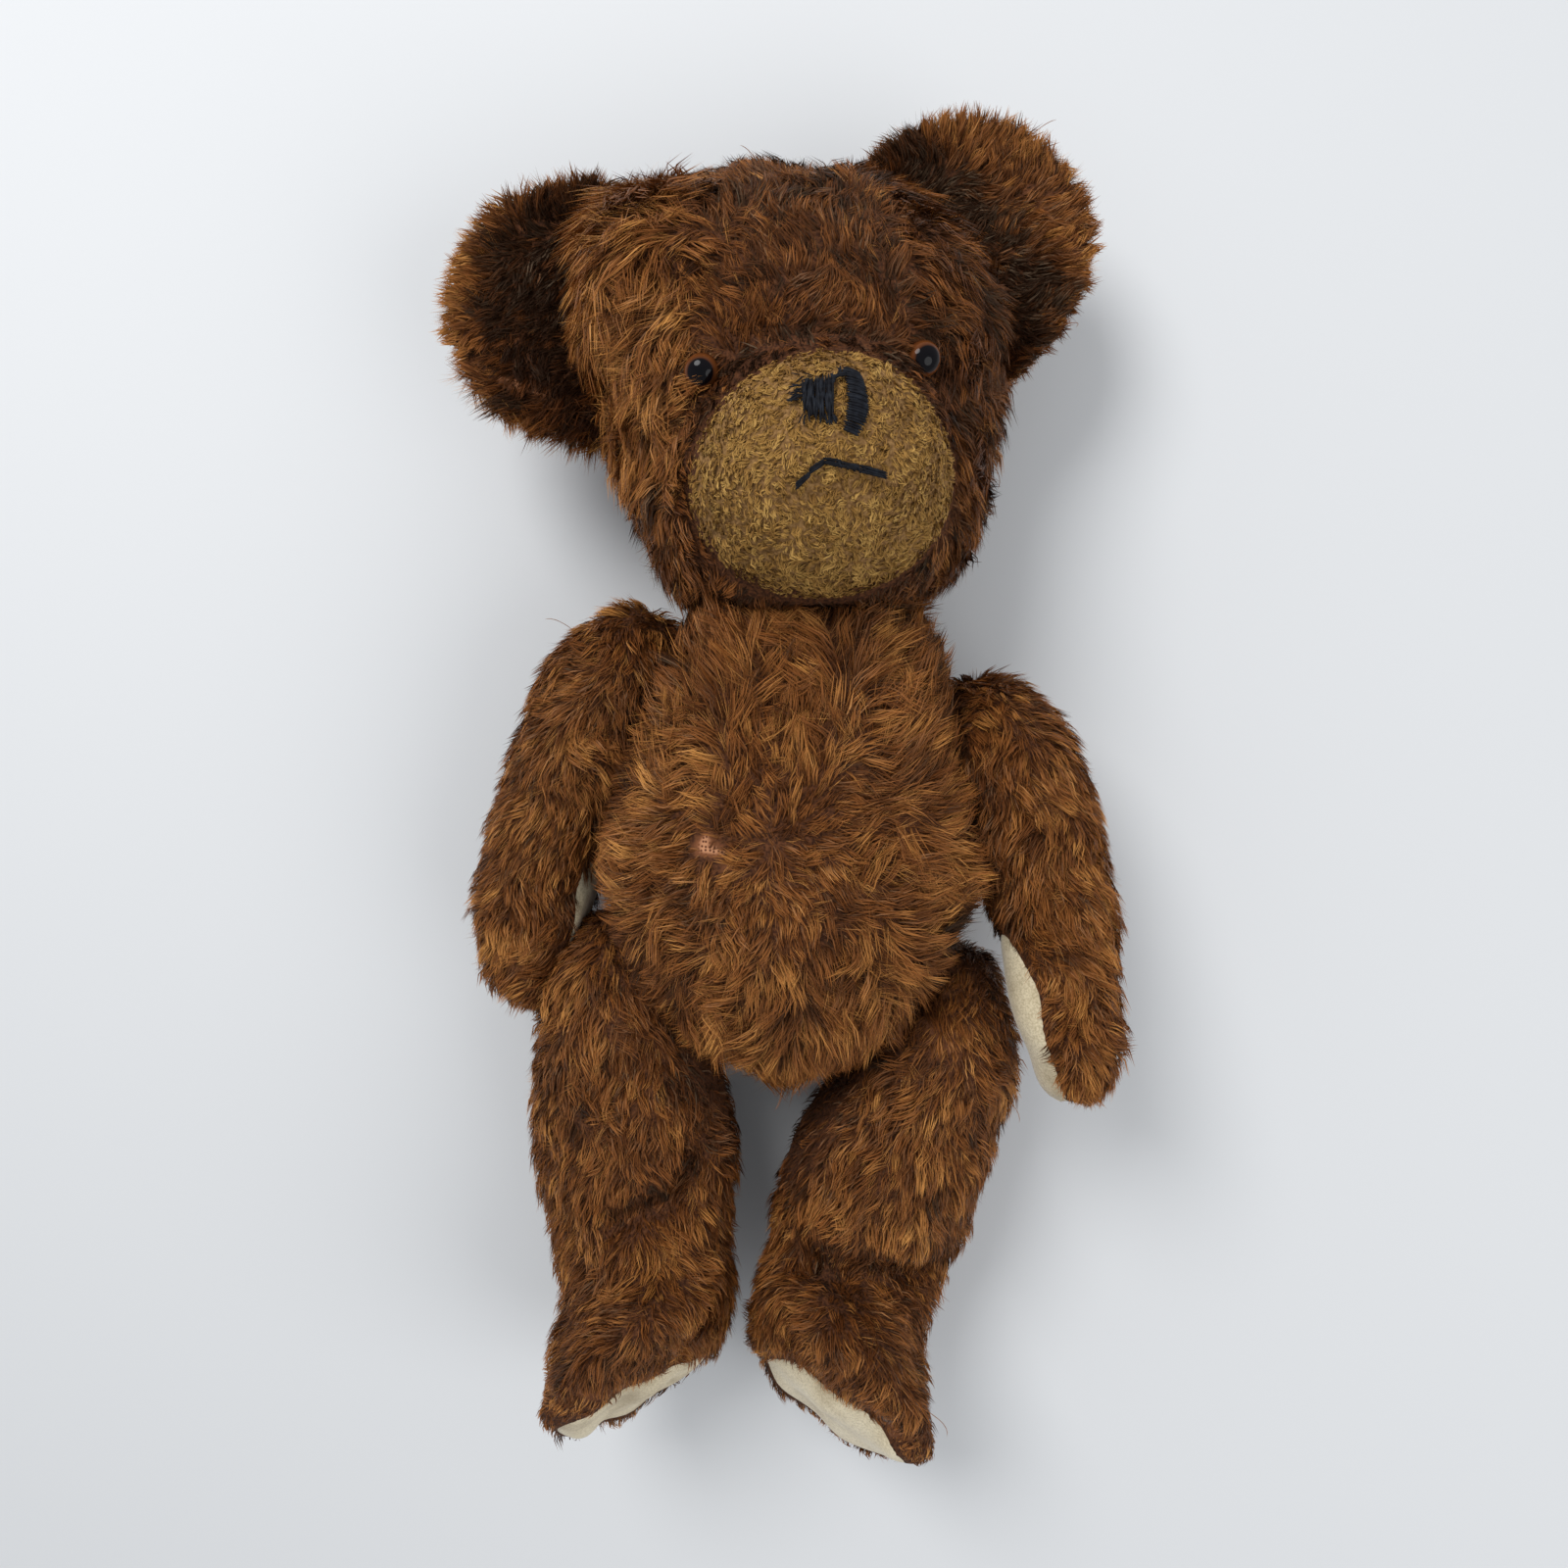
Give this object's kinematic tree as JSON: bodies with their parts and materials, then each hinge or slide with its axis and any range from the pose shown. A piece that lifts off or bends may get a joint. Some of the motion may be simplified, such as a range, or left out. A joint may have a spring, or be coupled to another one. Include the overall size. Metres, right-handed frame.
{
  "type": "jointed teddy bear",
  "caption": "Worn old jointed teddy bear in matted long-pile mohair, with a domed short-pile muzzle, glass eyes, stitched nose and felt pads, lying on its back.",
  "frame": {"origin": "centre of the flat rest on the middle of the torso's back", "axes": "+Z out of the chest, +Y towards the head, +X towards the bear's left arm"},
  "size_m": [0.2504, 0.488, 0.148],
  "materials": {
    "mohair": "matted wavy pile",
    "muzzle_pile": "short curly pile",
    "felt": "worn wool felt",
    "stuffing": "packed fibre",
    "floss": "worn cotton floss",
    "glass": "polished",
    "hardboard": "raw board",
    "steel": "dull"
  },
  "bodies": {
    "torso": {"torso_skin": "mohair", "torso_stuffing": "stuffing", "neck_torso_disc": "hardboard", "neck_torso_washer": "steel", "right_shoulder_torso_disc": "hardboard", "right_shoulder_torso_washer": "steel", "left_shoulder_torso_disc": "hardboard", "left_shoulder_torso_washer": "steel", "right_hip_torso_disc": "hardboard", "right_hip_torso_washer": "steel", "left_hip_torso_disc": "hardboard", "left_hip_torso_washer": "steel"},
    "head": {"head_skin": "mohair", "head_stuffing": "stuffing", "muzzle_panel": "muzzle_pile", "nose_stitching": "floss", "mouth_stitching": "floss", "right_ear": "mohair", "left_ear": "mohair", "right_eye": "glass", "left_eye": "glass", "neck_limb_disc": "hardboard", "neck_limb_washer": "steel", "neck_cotter_pin": "steel"},
    "right_arm": {"right_arm_skin": "mohair", "right_arm_stuffing": "stuffing", "right_paw_pad": "felt", "right_shoulder_limb_disc": "hardboard", "right_shoulder_limb_washer": "steel", "right_shoulder_cotter_pin": "steel"},
    "left_arm": {"left_arm_skin": "mohair", "left_arm_stuffing": "stuffing", "left_paw_pad": "felt", "left_shoulder_limb_disc": "hardboard", "left_shoulder_limb_washer": "steel", "left_shoulder_cotter_pin": "steel"},
    "right_leg": {"right_leg_skin": "mohair", "right_leg_stuffing": "stuffing", "right_foot_pad": "felt", "right_hip_limb_disc": "hardboard", "right_hip_limb_washer": "steel", "right_hip_cotter_pin": "steel"},
    "left_leg": {"left_leg_skin": "mohair", "left_leg_stuffing": "stuffing", "left_foot_pad": "felt", "left_hip_limb_disc": "hardboard", "left_hip_limb_washer": "steel", "left_hip_cotter_pin": "steel"}
  },
  "joints": [
    {"name": "neck_turn", "type": "hinge", "parent": "torso", "child": "head", "pos_m": [0.002, 0.08237, 0.058], "axis": [-0.0796, 0.9956, 0.0498], "range_deg": [-80, 80]},
    {"name": "right_shoulder_swing", "type": "hinge", "parent": "torso", "child": "right_arm", "pos_m": [-0.05134, 0.04928, 0.058], "axis": [-0.96, 0.28, 0], "range_deg": [-15, 100]},
    {"name": "left_shoulder_swing", "type": "hinge", "parent": "torso", "child": "left_arm", "pos_m": [0.05589, 0.03432, 0.058], "axis": [0.9651, 0.262, 0], "range_deg": [-100, 15]},
    {"name": "right_hip_swing", "type": "hinge", "parent": "torso", "child": "right_leg", "pos_m": [-0.04168, -0.05456, 0.05104], "axis": [-0.8939, -0.4319, -0.1205], "range_deg": [-5, 55]},
    {"name": "left_hip_swing", "type": "hinge", "parent": "torso", "child": "left_leg", "pos_m": [0.0403, -0.0572, 0.05104], "axis": [0.8939, -0.4319, -0.1205], "range_deg": [-55, 5]}
  ]
}
